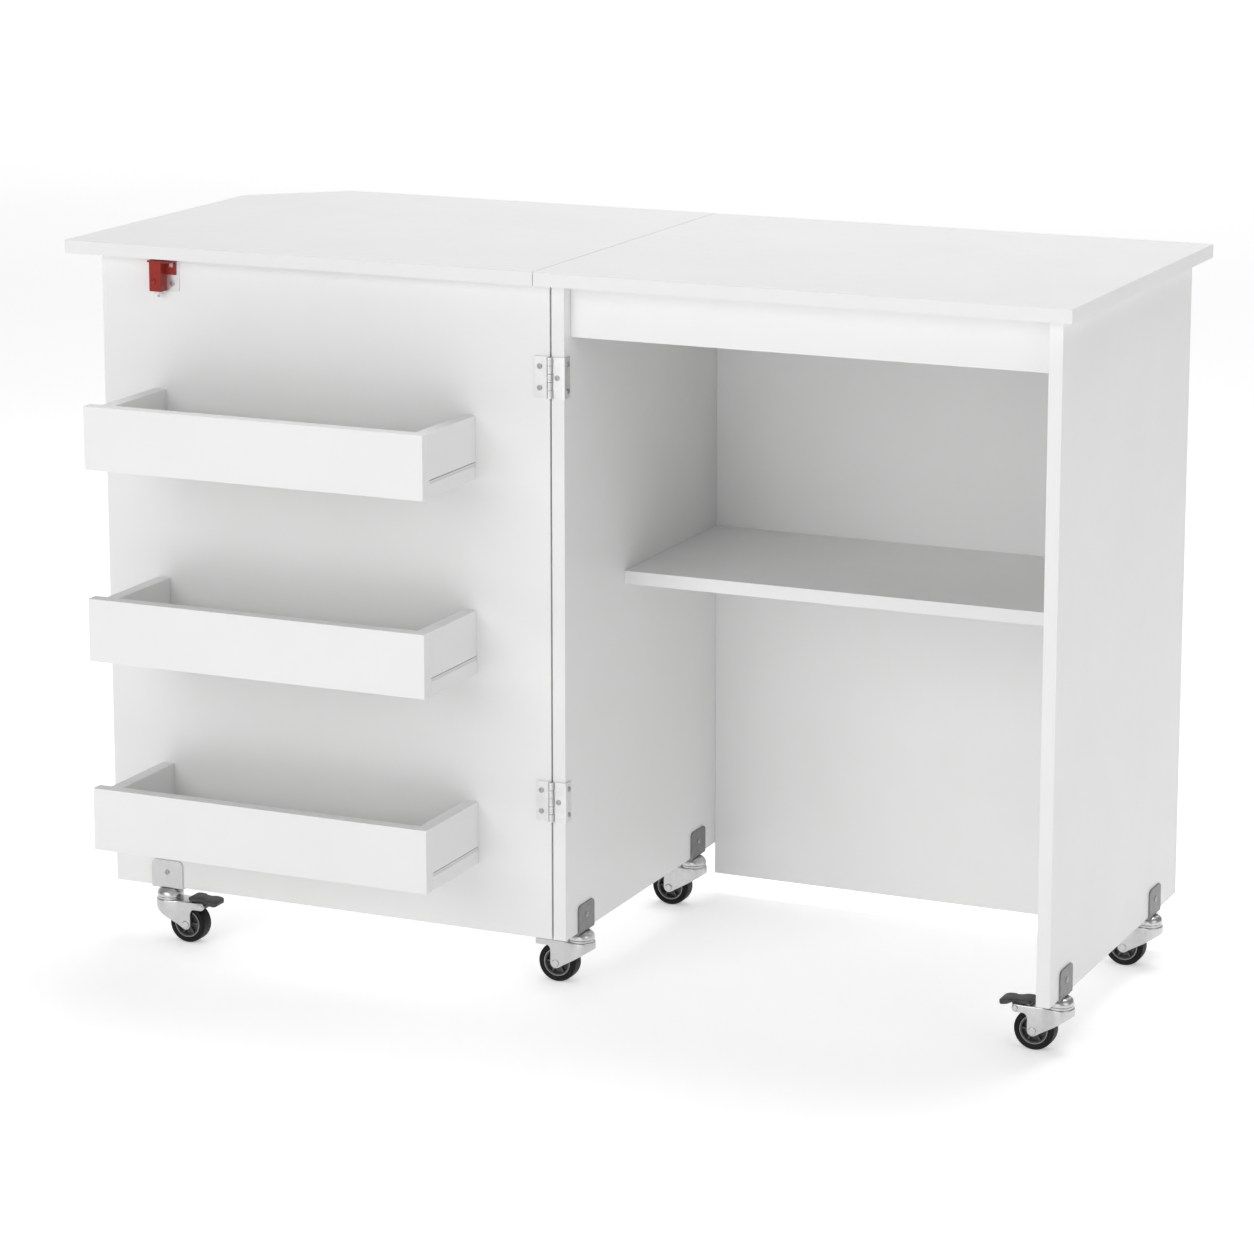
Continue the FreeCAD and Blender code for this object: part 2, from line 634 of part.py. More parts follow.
def fork_side(braked):
    """The fork seen from the side, as a thick plate that is wider than the fork."""
    y = CROWN_R + 2
    top = CROWN_Z + CROWN_T
    heel = (-CROWN_R - 1, SKIRT_FRONT_Z)
    touch = tangent_below(heel, (TRAIL, WHEEL_R), LEG_BOSS)
    toe_x = TRAIL + LEG_BOSS
    leg = [heel, touch, (TRAIL, WHEEL_R), (toe_x, WHEEL_R), (toe_x, SKIRT_REAR_Z - 5)]
    rear_x = BRAKE_X if braked else FORK_REAR + 1
    rear_z = BRAKE_Z - BRAKE_BOSS_R if braked else SKIRT_REAR_Z
    arm = [(toe_x + 5, rear_z), (rear_x, rear_z), (rear_x, top), (heel[0], top)]
    pieces = [extrude_xz(leg + arm, -y, y), cylinder(LEG_BOSS, V(TRAIL, -y, WHEEL_R), V(TRAIL, y, WHEEL_R))]
    if braked:
        pieces.append(cylinder(BRAKE_BOSS_R, V(BRAKE_X, -y, BRAKE_Z), V(BRAKE_X, y, BRAKE_Z)))
    return fuse(pieces)


def fork(braked):
    """A pressed steel fork: a flat crown with a skirt that runs down into two legs."""
    top = CROWN_Z + CROWN_T
    outer = fork_outline(0).extrude(V(0, 0, top))
    inner = fork_outline(LEG_T).extrude(V(0, 0, top))
    skirt = outer.cut(inner).common(fork_side(braked))
    plate = fork_outline(0).extrude(V(0, 0, CROWN_T)).translated(V(0, 0, CROWN_Z))
    if braked:
        plate = plate.cut(block(BRAKE_X - 16, FORK_REAR + 1, -LEG_INNER, LEG_INNER, CROWN_Z - 1, top + 1))
        plate = plate.common(fork_side(braked))
    race = Part.makeCylinder(RACE_R, RACE_TOP - CROWN_Z, V(0, 0, CROWN_Z))
    race = race.cut(Part.makeCylinder(RACE_R - RACE_WALL, RACE_TOP, V(0, 0, top)))
    solid = fuse([skirt, plate, race])
    tools = [Part.makeCylinder(KING_R + AXLE_FIT, HEIGHT)]
    tools.append(cylinder(AXLE_R + FIT, V(TRAIL, -CROWN_R, WHEEL_R), V(TRAIL, CROWN_R, WHEEL_R)))
    if braked:
        bore = BRAKE_PIN_R + FIT
        tools.append(cylinder(bore, V(BRAKE_X, -CROWN_R, BRAKE_Z), V(BRAKE_X, CROWN_R, BRAKE_Z)))
    return solid.cut(tools)


def rivet_pin(x, z, radius, head_r):
    """A rivet across the fork with a domed head at each end."""
    pieces = [cylinder(radius, V(x, -LEG_OUTER, z), V(x, LEG_OUTER, z))]
    for side in (-1, 1):
        face = side * LEG_OUTER
        tip = side * (LEG_OUTER + RIVET_HEAD_HEIGHT)
        head = cylinder(head_r, V(x, face, z), V(x, tip, z))
        rim = [e for e in head.Edges if abs(e.CenterOfMass.y - tip) < NEAR]
        pieces.append(head.makeFillet(1.2, rim))
    return fuse(pieces)


def caster_axle(braked):
    pins = [rivet_pin(TRAIL, WHEEL_R, AXLE_R, AXLE_HEAD_R)]
    if braked:
        pins.append(rivet_pin(BRAKE_X, BRAKE_Z, BRAKE_PIN_R, BRAKE_HEAD_R))
    return group(pins)


def wheel_ring(r0, r1, half_width):
    outer = cylinder(r1, V(TRAIL, -half_width, WHEEL_R), V(TRAIL, half_width, WHEEL_R))
    inner = cylinder(r0, V(TRAIL, -half_width - 1, WHEEL_R), V(TRAIL, half_width + 1, WHEEL_R))
    return outer.cut(inner)


def tyre():
    solid = wheel_ring(RIM_R, WHEEL_R, TREAD / 2)
    rims = [e for e in solid.Edges if e.BoundBox.YLength < NEAR]
    shoulders = [e for e in rims if e.BoundBox.ZLength > 2 * WHEEL_R - 1]
    return solid.makeFillet(TYRE_SHOULDER, shoulders)


def hub():
    bore = AXLE_R + AXLE_FIT
    pieces = [wheel_ring(RIM_R - RIM_WALL, RIM_R, HUB_WIDTH / 2)]
    pieces.append(wheel_ring(bore, RIM_R - RIM_WALL + 0.2, 2.0))
    pieces.append(wheel_ring(bore, HUB_BOSS_R, HUB_BOSS_HALF))
    spoke = block(TRAIL + HUB_BOSS_R - 0.5, TRAIL + RIM_R - 1.5, -6, 6, WHEEL_R - 0.9, WHEEL_R + 0.9)
    for number in range(SPOKES):
        pieces.append(spoke.rotated(V(TRAIL, 0, WHEEL_R), Y_AXIS, number * 360 / SPOKES))
    return fuse(pieces)


def brake_pedal():
    """A lever on the fork's arms: a pad to step on, and a shoe that swings to the tyre."""
    barrel = cylinder(BRAKE_BOSS_R - 0.3, V(BRAKE_X, -BRAKE_HALF, BRAKE_Z), V(BRAKE_X, BRAKE_HALF, BRAKE_Z))
    neck = block(BRAKE_X - 4, BRAKE_X + 4, -BRAKE_HALF, BRAKE_HALF, BRAKE_Z, BRAKE_Z + 6)
    shoe_half = BRAKE_HALF - 2
    shoe = block(BRAKE_X - 4, BRAKE_X - 0.5, -shoe_half, shoe_half, BRAKE_Z - 5.2, BRAKE_Z)
    upper = [(-17, 7.4), (-16, 9.6), (-6, 9.4), (4, 8.4), (17, 7.8), (19.5, 5.0)]
    lower = [(18, 3.6), (6, 5.0), (-14, 5.4)]
    outline = [(BRAKE_X + x, BRAKE_Z + z) for x, z in upper + lower]
    pad = extrude_xz(outline, -LEG_OUTER, LEG_OUTER)
    pad = pad.makeFillet(0.9, edges_along(pad, Y_AXIS, lambda p: p.x > BRAKE_X + 16.5))
    waist = []
    for side in (-1, 1):
        y = side * LEG_OUTER
        waist.append(block(BRAKE_X - 3, BRAKE_X + 5, y - 3, y + 3, 0, HEIGHT))
    pin = cylinder(BRAKE_PIN_R + BRAKE_FIT, V(BRAKE_X, -CROWN_R, BRAKE_Z), V(BRAKE_X, CROWN_R, BRAKE_Z))
    return fuse([barrel, neck, shoe, pad.cut(waist)]).cut(pin)


def raceway():
    """The fixed half of the swivel: a domed cap with the king pin under it."""
    top = CLEARANCE_UNDER - BRACKET_T
    rim = CAP_Z + CAP_RIM
    out = CAP_R - CAP_FLAT
    drop = top - rim
    bend = (out ** 2 + drop ** 2) / (2 * drop)
    half_turn = math.asin(min(1.0, out / bend)) / 2
    middle = V(CAP_FLAT + bend * math.sin(half_turn), 0, top - bend * (1 - math.cos(half_turn)))
    arc = Part.Arc(V(CAP_R, 0, rim), middle, V(CAP_FLAT, 0, top)).toShape()
    outline = [V(CAP_FLAT, 0, top), V(0, 0, top), V(0, 0, CAP_Z), V(CAP_R, 0, CAP_Z), V(CAP_R, 0, rim)]
    lines = Part.makePolygon(outline)
    face = Part.Face(Part.Wire(Part.sortEdges([arc] + lines.Edges)[0]))
    cap = face.revolve(V(), Z_AXIS, 360)
    king = Part.makeCylinder(KING_R, CAP_Z - CROWN_Z + 3, V(0, 0, CROWN_Z - 2))
    head = Part.makeCylinder(KING_HEAD_R, 1.8, V(0, 0, CROWN_Z - 2.0))
    return fuse([cap, king, head])


def bracket():
    """L-shaped mounting plate. The face it screws to is at x = -AXIS_INSET, and it lies on the -x
    side of that face, with its foot running under the board towards +x."""
    face = -AXIS_INSET
    back = face - BRACKET_T
    foot_z = CLEARANCE_UNDER - BRACKET_T
    half = BRACKET_WIDTH / 2
    plate = block(back, face, -half, half, foot_z, CLEARANCE_UNDER + BRACKET_HEIGHT)
    tops = edges_along(plate, X_AXIS, lambda p: p.z > CLEARANCE_UNDER)
    plate = plate.makeFillet(BRACKET_CORNER, tops)
    foot = block(back, face + BRACKET_LEG, -half, half, foot_z, CLEARANCE_UNDER)
    solid = fuse([plate, foot])
    bend = edges_along(solid, Y_AXIS, lambda p: p.x < back + 0.1 and p.z < foot_z + 0.1)
    solid = solid.makeFillet(BRACKET_BEND, bend)
    return solid.cut(screw_hole(V(back - 1, 0, BRACKET_SCREW_Z), X_AXIS, BRACKET_T + 2))


def at_caster(solid, name, heading):
    x, y = CASTERS[name][:2]
    turned = solid.rotated(V(), Z_AXIS, heading)
    return turned.translated(V(x, y, 0))


def bracket_screw_seat(name):
    """Seat of the screw on the bracket, and the way it points into the board."""
    heading = math.radians(BRACKET_HEADINGS[name])
    inward = V(math.cos(heading), math.sin(heading), 0)
    x, y = CASTERS[name][:2]
    seat = V(x, y, BRACKET_SCREW_Z) - inward * (AXIS_INSET + BRACKET_T)
    return seat, inward


# ---- fixings -------------------------------------------------------------------------------

def frame_screw_seats():
    """Seat, direction and length of each screw that holds a fitting to the cabinet."""
    seats = []
    length = FITTING_SCREW_LENGTH
    for centre in DOOR_HINGE_CENTRES:
        seats.append((V(HINGE_X + FRAME_SCREW_X, DOOR_LEAF_FRONT_Y, centre), Y_AXIS, length + 2))
        for rise in (-WRAP_SCREW_RISE, WRAP_SCREW_RISE):
            seat = V(INSIDE_LEFT + LEAF_T, HINGE_Y + WRAP_SCREW_Y, centre + rise)
            seats.append((seat, -X_AXIS, length))
    for centre in TOP_HINGE_CENTRES:
        for rise in (-TOP_SCREW_RISE, TOP_SCREW_RISE):
            seat = V(SEAM_X + TOP_FIXED_SCREW_X, centre + rise, UNDERSIDE - LEAF_T)
            seats.append((seat, Z_AXIS, length))
    for name in CASTERS:
        if name != "door_caster":
            seats.append((*bracket_screw_seat(name), BRACKET_SCREW_LENGTH))
    return seats


def door_screw_seats():
    seats = []
    length = FITTING_SCREW_LENGTH
    for centre in DOOR_HINGE_CENTRES:
        for rise in (-DOOR_SCREW_RISE, DOOR_SCREW_RISE):
            seat = V(HINGE_X + DOOR_SCREW_X, DOOR_LEAF_FRONT_Y, centre + rise)
            seats.append((seat, Y_AXIS, length))
    seats.append((V(LATCH_X1 + 7, LATCH_BACK, LATCH_Z0 + 8), Y_AXIS, length))
    seats.append((*bracket_screw_seat("door_caster"), BRACKET_SCREW_LENGTH))
    return seats


def leaf_screw_seats():
    seats = []
    for centre in TOP_HINGE_CENTRES:
        for rise in (-TOP_SCREW_RISE, TOP_SCREW_RISE):
            seat = V(SEAM_X + TOP_MOVING_SCREW_X, centre + rise, UNDERSIDE - LEAF_T)
            seats.append((seat, Z_AXIS, FITTING_SCREW_LENGTH))
    return seats


def screws(seats):
    return group([pan_screw(seat, way, length) for seat, way, length in seats])


def holes(seats):
    return [screw_hole(seat, way, length) for seat, way, length in seats]


# ---- assembly ------------------------------------------------------------------------------

def wooden_nodes():
    dowels = [cylinder(DOWEL_R + FIT, a, b) for a, b in dowel_lines()]
    cams = [Part.makeCylinder(CAM_R + FIT, CAM_DEPTH, mouth, way) for mouth, way in cam_places()]
    frame_holes = dowels + cams + holes(frame_screw_seats()) + strike_holes()
    bin_dowels = [cylinder(DOWEL_R + FIT, a, b) for a, b in bin_dowel_lines()]
    bin_screws = [flat_screw_hole(seat, -Y_AXIS, BIN_SCREW_LENGTH) for seat in bin_screw_seats()]
    door_holes = bin_dowels + bin_screws + holes(door_screw_seats())
    nodes = {
        "main_top": drill(main_top(), frame_holes),
        "left_side_panel": drill(side_panel(LEFT_PANEL_X), frame_holes),
        "right_side_panel": drill(side_panel(RIGHT_PANEL_X), frame_holes),
        "back_panel": drill(back_panel(), frame_holes),
        "front_rail": drill(front_rail(), frame_holes),
        "middle_shelf": drill(middle_shelf(), frame_holes),
        "drop_leaf": drill(drop_leaf(), holes(leaf_screw_seats()) + strike_holes()),
        "door_panel": drill(door_panel(), door_holes),
    }
    for name, z0 in BIN_BOTTOMS.items():
        nodes[name + "_bin_front"] = drill(bin_front(z0), door_holes)
        nodes[name + "_bin_ends"] = drill(bin_ends(z0), door_holes)
        nodes[name + "_bin_bottom"] = bin_bottom(z0)
    return nodes


def fixing_nodes():
    return {
        "assembly_dowels": group([cylinder(DOWEL_R, a, b) for a, b in dowel_lines()]),
        "cam_locks": group([cam_lock(mouth, way) for mouth, way in cam_places()]),
        "bin_dowels": group([cylinder(DOWEL_R, a, b) for a, b in bin_dowel_lines()]),
        "bin_screws": group([flat_screw(s, -Y_AXIS, BIN_SCREW_LENGTH) for s in bin_screw_seats()]),
        "frame_screws": screws(frame_screw_seats()),
        "door_screws": screws(door_screw_seats()),
        "leaf_screws": screws(leaf_screw_seats()),
    }


def hinge_nodes():
    frame_holes = holes(frame_screw_seats())
    door_holes = holes(door_screw_seats())
    leaf_holes = holes(leaf_screw_seats())
    frame_leaves = [drill(door_hinge_frame_leaf(c), frame_holes) for c in DOOR_HINGE_CENTRES]
    door_leaves = [drill(door_hinge_door_leaf(c), door_holes) for c in DOOR_HINGE_CENTRES]
    fixed = [drill(top_hinge_fixed_leaf(c), frame_holes) for c in TOP_HINGE_CENTRES]
    moving = [drill(top_hinge_moving_leaf(c), leaf_holes) for c in TOP_HINGE_CENTRES]
    return {
        "door_hinge_frame_leaves": group(frame_leaves),
        "door_hinge_door_leaves": group(door_leaves),
        "leaf_hinge_fixed_leaves": group(fixed),
        "leaf_hinge_moving_leaves": group(moving),
        "hinge_pins": hinge_pins(),
    }


def latch_nodes():
    return {
        "latch_plate": drill(latch_plate(), holes(door_screw_seats())),
        "latch_housing": latch_housing(),
        "latch_bush": latch_bush(),
        "latch_bolt": latch_bolt(),
        "latch_spring": latch_spring(),
    }


def caster_nodes():
    cabinet = [name for name in CASTERS if name != "door_caster"]
    nodes = {
        "caster_brackets": group([at_caster(bracket(), n, BRACKET_HEADINGS[n]) for n in cabinet]),
        "caster_raceways": group([at_caster(raceway(), n, 0) for n in cabinet]),
        "door_caster_bracket": at_caster(bracket(), "door_caster", BRACKET_HEADINGS["door_caster"]),
        "door_caster_raceway": at_caster(raceway(), "door_caster", 0),
    }
    for name, (_, _, heading, braked) in CASTERS.items():
        nodes[name + "_fork"] = at_caster(fork(braked), name, heading)
        nodes[name + "_axle"] = at_caster(caster_axle(braked), name, heading)
        nodes[name + "_tyre"] = at_caster(tyre(), name, heading)
        nodes[name + "_hub"] = at_caster(hub(), name, heading)
        if braked:
            nodes[name + "_brake_pedal"] = at_caster(brake_pedal(), name, heading)
    return nodes


def all_nodes():
    nodes = {}
    for made in (wooden_nodes(), fixing_nodes(), hinge_nodes(), latch_nodes(), caster_nodes()):
        nodes.update(made)
    return nodes


def main():
    os.makedirs("parts", exist_ok=True)
    for name, shape in all_nodes().items():
        shape.translated(-ORIGIN).exportStep("parts/" + name + ".step")


main()
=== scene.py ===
import json
import math

import bmesh
import bpy
from mathutils import Matrix, Vector


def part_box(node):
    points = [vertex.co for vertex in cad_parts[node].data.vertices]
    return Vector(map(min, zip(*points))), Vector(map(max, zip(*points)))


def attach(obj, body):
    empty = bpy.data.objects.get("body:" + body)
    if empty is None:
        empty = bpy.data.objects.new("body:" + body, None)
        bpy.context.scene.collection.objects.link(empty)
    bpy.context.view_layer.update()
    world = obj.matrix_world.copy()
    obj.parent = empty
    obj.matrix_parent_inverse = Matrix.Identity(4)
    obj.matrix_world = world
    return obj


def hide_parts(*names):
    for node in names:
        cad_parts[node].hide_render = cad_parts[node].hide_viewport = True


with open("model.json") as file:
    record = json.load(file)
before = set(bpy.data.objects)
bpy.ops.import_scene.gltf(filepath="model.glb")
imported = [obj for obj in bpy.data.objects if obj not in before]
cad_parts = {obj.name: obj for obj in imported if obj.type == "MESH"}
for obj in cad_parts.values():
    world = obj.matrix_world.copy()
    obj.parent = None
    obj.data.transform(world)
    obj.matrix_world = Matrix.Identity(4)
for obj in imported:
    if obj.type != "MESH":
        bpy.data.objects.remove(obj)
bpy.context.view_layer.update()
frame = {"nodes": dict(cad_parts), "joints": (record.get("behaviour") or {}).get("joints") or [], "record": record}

NODES = frame["nodes"]
JOINTS = {joint["name"]: joint for joint in frame["joints"]}
MM = 0.001


# ---- camera and light ------------------------------------------------------------------------

CAMERA_AT = Vector((1.8938, -4.1782, 1.4863))
CAMERA_YAW = math.radians(24.24)
CAMERA_PITCH = math.radians(11.54)
CAMERA_SHIFT = -0.12
SENSOR = 36.0
LENS = 120.746411

WORLD_STRENGTH = 0.3
# name: place, aim, size in metres, power in watts
SOFTBOXES = {
    "front_softbox": ((-1.2, -4.6, 2.4), (0, 0, 0.4), (3.2, 2.4), 71),
    "low_front_fill": ((0.6, -5.0, 0.9), (0.2, 0, 0.4), (3.0, 1.4), 25),
    "right_softbox": ((4.4, -1.6, 2.0), (0, 0, 0.4), (2.6, 2.6), 27),
    "top_softbox": ((0.2, 1.1, 3.6), (0, 0, 0.6), (3.0, 2.0), 71),
    "rear_floor_light": ((-4.5, 11.5, 5.0), (-4.5, 11.5, 0.0), (14.0, 12.0), 430),
}


def add_camera():
    data = bpy.data.cameras.new("camera")
    data.sensor_width = SENSOR
    data.lens = LENS
    data.shift_y = CAMERA_SHIFT
    camera = bpy.data.objects.new("camera", data)
    camera.location = CAMERA_AT
    camera.rotation_euler = (math.pi / 2 - CAMERA_PITCH, 0, CAMERA_YAW)
    bpy.context.scene.collection.objects.link(camera)
    bpy.context.scene.camera = camera


def add_area_light(name, at, aim, size, power):
    data = bpy.data.lights.new(name, "AREA")
    data.shape = "RECTANGLE"
    data.size, data.size_y = size
    data.energy = power
    light = bpy.data.objects.new(name, data)
    light.location = at
    light.rotation_euler = (Vector(aim) - Vector(at)).to_track_quat("-Z", "Y").to_euler()
    bpy.context.scene.collection.objects.link(light)


def add_light():
    world = bpy.data.worlds.new("studio")
    bpy.context.scene.world = world
    world.use_nodes = True
    background = world.node_tree.nodes["Background"]
    background.inputs["Color"].default_value = (1, 1, 1, 1)
    background.inputs["Strength"].default_value = WORLD_STRENGTH
    for name, (at, aim, size, power) in SOFTBOXES.items():
        add_area_light(name, at, aim, size, power)


add_camera()
add_light()
bpy.context.scene.view_settings.view_transform = "Standard"


# ---- materials -------------------------------------------------------------------------------

# nearly all values of a noise lie between these two
NOISE_LOW = 0.3
NOISE_HIGH = 0.7


def grey(value):
    return (value, value, value)


class Shader:
    """A principled material and short calls that add nodes to it."""

    def __init__(self, name):
        self.material = bpy.data.materials.new(name)
        self.material.use_nodes = True
        self.nodes = self.material.node_tree.nodes
        self.links = self.material.node_tree.links
        self.shader = self.nodes["Principled BSDF"]
        self.place = self.nodes.new("ShaderNodeTexCoord").outputs["Object"]

    def set(self, **values):
        for name, value in values.items():
            self.shader.inputs[name.replace("_", " ")].default_value = value

    def noise(self, scale, detail, stretch=None):
        node = self.nodes.new("ShaderNodeTexNoise")
        node.inputs["Scale"].default_value = scale
        node.inputs["Detail"].default_value = detail
        source = self.place
        if stretch:
            mapping = self.nodes.new("ShaderNodeMapping")
            mapping.inputs["Scale"].default_value = stretch
            self.links.new(self.place, mapping.inputs["Vector"])
            source = mapping.outputs["Vector"]
        self.links.new(source, node.inputs["Vector"])
        return node.outputs["Fac"]

    def tone(self, noise, dark, light):
        """Base colour between two colours."""
        node = self.nodes.new("ShaderNodeValToRGB")
        stops = ((NOISE_LOW, dark), (NOISE_HIGH, light))
        for element, (position, colour) in zip(node.color_ramp.elements, stops):
            element.position = position
            element.color = (*colour, 1.0)
        self.links.new(noise, node.inputs["Fac"])
        self.links.new(node.outputs["Color"], self.shader.inputs["Base Color"])

    def roughness(self, noise, least, most):
        node = self.nodes.new("ShaderNodeMapRange")
        node.inputs["From Min"].default_value = NOISE_LOW
        node.inputs["From Max"].default_value = NOISE_HIGH
        node.inputs["To Min"].default_value = least
        node.inputs["To Max"].default_value = most
        self.links.new(noise, node.inputs["Value"])
        self.links.new(node.outputs["Result"], self.shader.inputs["Roughness"])

    def relief(self, noise, depth, strength):
        node = self.nodes.new("ShaderNodeBump")
        node.inputs["Distance"].default_value = depth
        node.inputs["Strength"].default_value = strength
        self.links.new(noise, node.inputs["Height"])
        self.links.new(node.outputs["Normal"], self.shader.inputs["Normal"])


# slot: (noise scale, detail, darker colour, lighter colour),
#       (noise scale, detail, least roughness, most roughness),
#       (noise scale, detail, depth in metres, strength), specular level
COATS = {
    "white_melamine": (
        (9, 3, (0.792, 0.792, 0.788), (0.810, 0.810, 0.807)),
        (60, 4, 0.36, 0.46),
        (1500, 2, 0.00002, 0.6), 0.4,
    ),
    "white_hardboard": (
        (30, 4, (0.66, 0.66, 0.65), (0.70, 0.70, 0.69)),
        (200, 4, 0.45, 0.6),
        (900, 3, 0.00004, 0.8), 0.5,
    ),
    "red_enamel": (
        (150, 4, (0.27, 0.020, 0.013), (0.31, 0.027, 0.018)),
        (700, 3, 0.3, 0.42),
        (1100, 2, 0.00004, 0.6), 0.25,
    ),
    "white_plastic": (
        (200, 3, grey(0.70), grey(0.76)),
        (900, 3, 0.35, 0.5),
        (1800, 2, 0.00002, 0.5), 0.5,
    ),
    "black_rubber": (
        (300, 4, grey(0.003), grey(0.006)),
        (800, 4, 0.42, 0.6),
        (2200, 3, 0.00003, 0.7), 0.2,
    ),
    "grey_hub": (
        (250, 4, grey(0.055), grey(0.085)),
        (900, 3, 0.32, 0.48),
        (1600, 2, 0.00003, 0.6), 0.5,
    ),
    "black_plastic": (
        (250, 4, grey(0.030), grey(0.048)),
        (900, 4, 0.42, 0.58),
        (1800, 3, 0.00006, 0.8), 0.5,
    ),
}
# slot: darker and lighter grey, middle roughness, grain scale, grain stretch, grain depth in metres
PLATINGS = {
    "bright_steel": (0.38, 0.46, 0.30, 2500, (1, 1, 1), 0.00001),
    "nickel_steel": (0.70, 0.77, 0.38, 1500, (1, 1, 0.05), 0.00001),
    "zinc_bracket": (0.25, 0.30, 0.50, 900, (1, 1, 1), 0.00003),
    "zinc_fork": (0.57, 0.62, 0.30, 1800, (1, 1, 1), 0.00001),
}
PLATE_CLOUD = (120, 4)
GRAIN_DETAIL = 3
GRAIN_STRENGTH = 0.5
GLOSS_SPREAD = (0.85, 1.2)


def coated(name, tone, roughness, relief, specular):
    """Foil, enamel, plastic or rubber: a faintly cloudy tone, uneven gloss and a fine relief."""
    made = Shader(name)
    for add, (scale, detail, low, high) in (
        (made.tone, tone), (made.roughness, roughness), (made.relief, relief),
    ):
        add(made.noise(scale, detail), low, high)
    made.set(Specular_IOR_Level=specular)
    return made.material


def plated(name, dark, light, rough, scale, stretch, depth):
    """Plated steel: metallic, with a slightly cloudy tone and a fine grain in its gloss."""
    made = Shader(name)
    made.tone(made.noise(*PLATE_CLOUD), grey(dark), grey(light))
    grain = made.noise(scale, GRAIN_DETAIL, stretch)
    made.roughness(grain, rough * GLOSS_SPREAD[0], rough * GLOSS_SPREAD[1])
    made.relief(grain, depth, GRAIN_STRENGTH)
    made.set(Metallic=1.0)
    return made.material


def beech():
    """Bare wood of the dowels, with its grain squeezed along z."""
    made = Shader("beech")
    grain = made.noise(40, 6, (1, 1, 12))
    made.tone(grain, (0.55, 0.36, 0.20), (0.68, 0.48, 0.29))
    made.roughness(grain, 0.5, 0.7)
    made.relief(grain, 0.0001, 0.5)
    return made.material


MATERIALS = {
    "beech": beech(),
    **{slot: coated(slot, *look) for slot, look in COATS.items()},
    **{slot: plated(slot, *look) for slot, look in PLATINGS.items()},
}


def paint_nodes():
    """Gives each carried-over node the finished material of its own slot."""
    for item in frame["record"]["subparts"]:
        materials = NODES[item["node"]].data.materials
        materials.clear()
        materials.append(MATERIALS[item["material_slot"]])


paint_nodes()


# ---- mesh helpers ----------------------------------------------------------------------------

SHARP_ANGLE = math.radians(32)
LIE_DOWN = Matrix.Rotation(math.pi / 2, 4, "X")
QUARTER_STEPS = 4
QUARTER_TURN = [math.pi / 2 * k / QUARTER_STEPS for k in range(QUARTER_STEPS + 1)]


def corner(node, side):
    """The lowest (side 0) or highest (side 1) corner of a node's box, in millimetres."""
    return Vector(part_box(node)[side]) / MM


def joint_place(name):
    """Where a joint's axis stands, in millimetres."""
    return Vector(JOINTS[name]["pos_m"]) / MM


def finish_piece(bm, name, slot, body, nodes=()):
    """Makes a piece of the bmesh. It rides on the body and stands for the nodes."""
    bmesh.ops.recalc_face_normals(bm, faces=bm.faces)
    for face in bm.faces:
        face.smooth = True
    mesh = bpy.data.meshes.new(name)
    bm.to_mesh(mesh)
    bm.free()
    mesh.set_sharp_from_angle(angle=SHARP_ANGLE)
    mesh.materials.append(MATERIALS[slot])
    piece = bpy.data.objects.new(name, mesh)
    bpy.context.scene.collection.objects.link(piece)
    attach(piece, body)
    if nodes:
        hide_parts(*nodes)


def band(bm, near, far):
    """Faces between two rings that have the same number of points."""
    for k in range(len(near)):
        j = (k + 1) % len(near)
        bm.faces.new((near[k], near[j], far[j], far[k]))


def loft(bm, rings):
    """A closed body through rings that all have the same number of points."""
    made = [[bm.verts.new(point) for point in ring] for ring in rings]
    for near, far in zip(made, made[1:]):
        band(bm, near, far)
    bm.faces.new(made[0])
    bm.faces.new(reversed(made[-1]))


def prism(bm, outline, z0, z1, place):
    """A flat plate: an outline of (x, y) points between two heights."""
    loft(bm, [[place @ Vector((x, y, z)) for x, y in outline] for z in (z0, z1)])


def lathe(bm, profile, place, steps):
    """Turns a closed profile of (radius, height) points about the z axis, then places it."""
    rings = []
    for step in range(steps):
        turn = 2 * math.pi * step / steps
        way = Vector((math.cos(turn), math.sin(turn), 0))
        rings.append([bm.verts.new(place @ (way * r + Vector((0, 0, h)))) for r, h in profile])
    for step in range(steps):
        band(bm, rings[step], rings[(step + 1) % steps])


def mirrored_profile(half):
    """A closed (radius, height) profile from its upper half, which runs outward and back in."""
    return half + [(r, -h) for r, h in reversed(half)]


def arc_points(centre, radius, start, end, steps):
    """Points on an arc in a plane, angles in degrees."""
    points = []
    for step in range(steps + 1):
        turn = math.radians(start + (end - start) * step / steps)
        points.append((centre[0] + radius * math.cos(turn), centre[1] + radius * math.sin(turn)))
    return points


def arc_height(radius, x):
    """How high a circle stands over its centre line, at a distance x from the centre."""
    return math.sqrt(max(radius ** 2 - x ** 2, 0))


def rounded_rectangle(low, high, bend, steps):
    """A rectangle between two corners, with its corners rounded to the radius bend."""
    (x0, y0), (x1, y1) = low, high
    centres = (
        (x1 - bend, y1 - bend),
        (x0 + bend, y1 - bend),
        (x0 + bend, y0 + bend),
        (x1 - bend, y0 + bend),
    )
    ring = []
    for quarter, centre in enumerate(centres):
        ring += arc_points(centre, bend, 90 * quarter, 90 * quarter + 90, steps)
    return ring


# ---- casters: sizes in millimetres, x back from the king pin, z up from the floor ------------

CASTER_NAMES = ("front_left", "rear_left", "front_right", "rear_right", "door")

